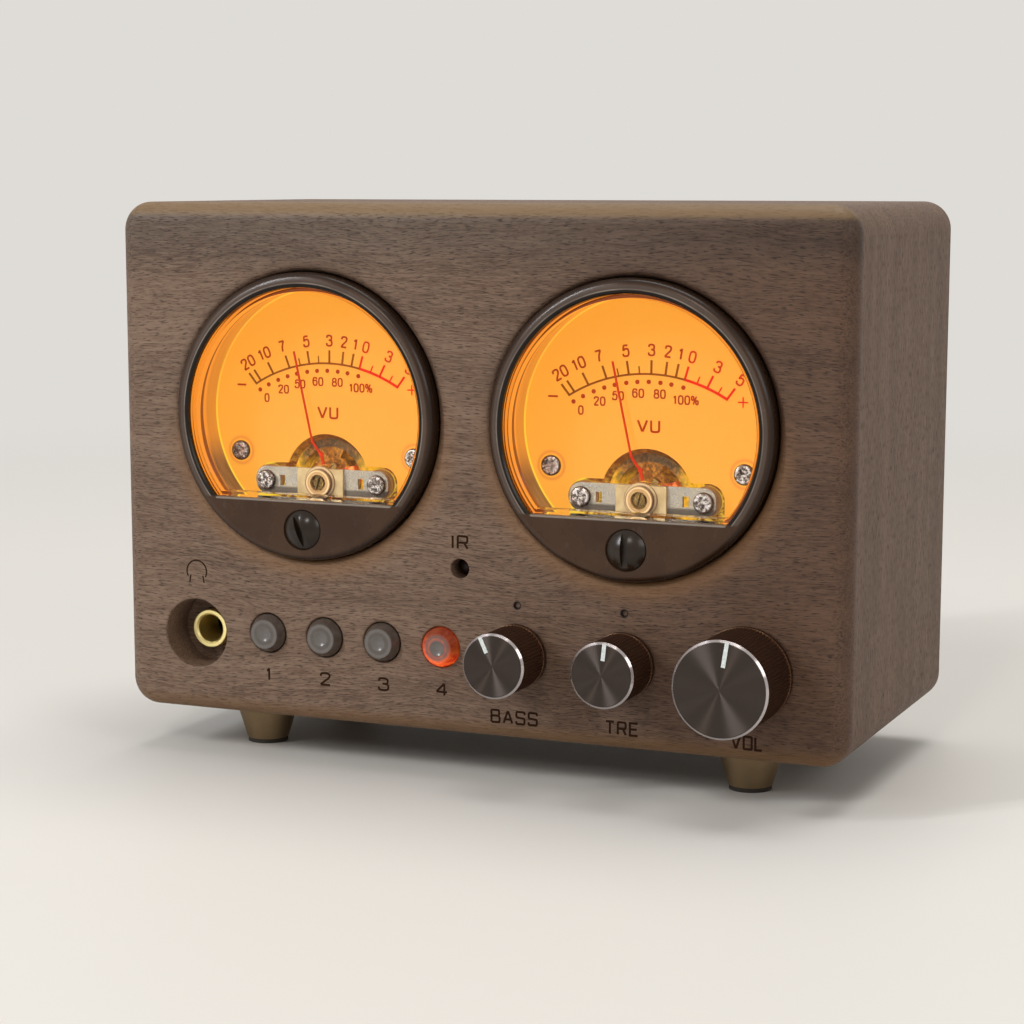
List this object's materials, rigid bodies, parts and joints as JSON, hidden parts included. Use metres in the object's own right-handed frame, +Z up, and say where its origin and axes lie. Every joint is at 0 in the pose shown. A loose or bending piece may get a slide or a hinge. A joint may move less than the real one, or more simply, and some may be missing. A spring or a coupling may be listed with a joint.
{
  "type": "analog vu meter",
  "caption": "Desktop stereo level-meter unit in a walnut cabinet with two round backlit moving-coil meters, source buttons, tone and volume knobs, a headphone socket and cone feet.",
  "frame": {"origin": "middle of the bounding box at the underside of the foot pads", "axes": "the front with its meters and knobs faces -Y, +X is to the right seen from the front, +Z is up"},
  "size_m": [0.175, 0.1096, 0.1282],
  "materials": {
    "walnut": "open-pored walnut, oiled, satin",
    "bezel": "black-brown moulding, glossy",
    "window": "clear moulded pane, polished",
    "cup": "clear moulding, lit amber from behind",
    "dial": "translucent sheet, printed, lit amber from behind",
    "zinc": "zinc-plated strip, satin",
    "ivory": "natural moulded plastic, satin",
    "gold": "gold-plated, polished",
    "brass": "dull brass, satin",
    "steel": "nickel-plated, satin",
    "needle": "red lacquer",
    "coil": "enamelled copper on an aluminium former",
    "magnet": "ground magnet alloy",
    "yoke": "soft iron, passivated",
    "zero_screw": "black, glossy",
    "lamp": "white lamp board",
    "knob": "anodised dark grey, spun face, bright bevel",
    "button": "milky translucent moulding",
    "black_plastic": "black moulding",
    "receiver": "dark infrared window",
    "pcb": "green solder mask",
    "rear": "fine black powder coat",
    "pad": "soft foam pad"
  },
  "bodies": {
    "root": {"front_panel": "walnut", "cabinet_shell": "walnut", "rear_panel": "rear", "case_screws": "steel", "feet": "brass", "foot_pads": "pad", "bezel_left": "bezel", "window_left": "window", "meter_cup_left": "cup", "dial_left": "dial", "bridge_left": "zinc", "bridge_bush_left": "ivory", "magnet_core_left": "magnet", "iron_yoke_left": "yoke", "lamp_board_left": "lamp", "bezel_right": "bezel", "window_right": "window", "meter_cup_right": "cup", "dial_right": "dial", "bridge_right": "zinc", "bridge_bush_right": "ivory", "magnet_core_right": "magnet", "iron_yoke_right": "yoke", "lamp_board_right": "lamp", "pivot_screws": "gold", "meter_screws": "steel", "meter_terminals": "gold", "potentiometers": "black_plastic", "control_nuts": "steel", "button_switches": "black_plastic", "headphone_bush": "gold", "headphone_contacts": "gold", "headphone_socket": "black_plastic", "remote_receiver": "receiver", "front_board": "pcb", "main_board": "pcb", "board_spacers": "brass", "phono_barrels": "gold", "phono_blocks": "black_plastic", "power_socket": "black_plastic"},
    "movement_left": {"needle_left": "needle", "moving_coil_left": "coil"},
    "zero_screw_left": {"zero_screw_left": "zero_screw"},
    "zero_arm_left": {"zero_arm_left": "brass", "hairspring_left": "gold"},
    "movement_right": {"needle_right": "needle", "moving_coil_right": "coil"},
    "zero_screw_right": {"zero_screw_right": "zero_screw"},
    "zero_arm_right": {"zero_arm_right": "brass", "hairspring_right": "gold"},
    "bass_control": {"bass_knob": "knob", "bass_shaft": "steel"},
    "treble_control": {"treble_knob": "knob", "treble_shaft": "steel"},
    "volume_control": {"volume_knob": "knob", "volume_shaft": "steel"},
    "button_1": {"button_1": "button"},
    "button_2": {"button_2": "button"},
    "button_3": {"button_3": "button"},
    "button_4": {"button_4": "button"}
  },
  "joints": [
    {"name": "needle_swing_left", "type": "hinge", "parent": "root", "child": "movement_left", "pos_m": [-0.039, -0.0247, 0.0647], "axis": [0, 1, 0], "range_deg": [-27.5, 56.5], "stiffness_Nm_per_rad": 0.0005},
    {"name": "zero_screw_turn_left", "type": "hinge", "parent": "root", "child": "zero_screw_left", "pos_m": [-0.039, -0.0377, 0.0549], "axis": [0, 1, 0], "range_deg": [-35, 35]},
    {"name": "zero_arm_turn_left", "type": "hinge", "parent": "root", "child": "zero_arm_left", "pos_m": [-0.039, -0.0284, 0.0647], "axis": [0, 1, 0], "range_deg": [-5.4, 5.4]},
    {"name": "needle_swing_right", "type": "hinge", "parent": "root", "child": "movement_right", "pos_m": [0.039, -0.0247, 0.0647], "axis": [0, 1, 0], "range_deg": [-27.5, 56.5], "stiffness_Nm_per_rad": 0.0005},
    {"name": "zero_screw_turn_right", "type": "hinge", "parent": "root", "child": "zero_screw_right", "pos_m": [0.039, -0.0377, 0.0549], "axis": [0, 1, 0], "range_deg": [-35, 35]},
    {"name": "zero_arm_turn_right", "type": "hinge", "parent": "root", "child": "zero_arm_right", "pos_m": [0.039, -0.0284, 0.0647], "axis": [0, 1, 0], "range_deg": [-5.4, 5.4]},
    {"name": "bass_turn", "type": "hinge", "parent": "root", "child": "bass_control", "pos_m": [0.0126, -0.0367, 0.0295], "axis": [0, 1, 0], "range_deg": [-125, 175]},
    {"name": "treble_turn", "type": "hinge", "parent": "root", "child": "treble_control", "pos_m": [0.0377, -0.0367, 0.0295], "axis": [0, 1, 0], "range_deg": [-156, 144]},
    {"name": "volume_turn", "type": "hinge", "parent": "root", "child": "volume_control", "pos_m": [0.0653, -0.0367, 0.0295], "axis": [0, 1, 0], "range_deg": [-159, 141]},
    {"name": "button_press_1", "type": "slide", "parent": "root", "child": "button_1", "axis": [0, 1, 0], "range_m": [0, 0.0008], "stiffness_N_per_m": 400},
    {"name": "button_press_2", "type": "slide", "parent": "root", "child": "button_2", "axis": [0, 1, 0], "range_m": [0, 0.0008], "stiffness_N_per_m": 400},
    {"name": "button_press_3", "type": "slide", "parent": "root", "child": "button_3", "axis": [0, 1, 0], "range_m": [0, 0.0008], "stiffness_N_per_m": 400},
    {"name": "button_press_4", "type": "slide", "parent": "root", "child": "button_4", "axis": [0, 1, 0], "range_m": [0, 0.0008], "stiffness_N_per_m": 400}
  ],
  "couplings": [
    {"joint": "zero_arm_turn_left", "follows": "zero_screw_turn_left", "ratio": -0.15294},
    {"joint": "zero_arm_turn_right", "follows": "zero_screw_turn_right", "ratio": -0.15294}
  ]
}
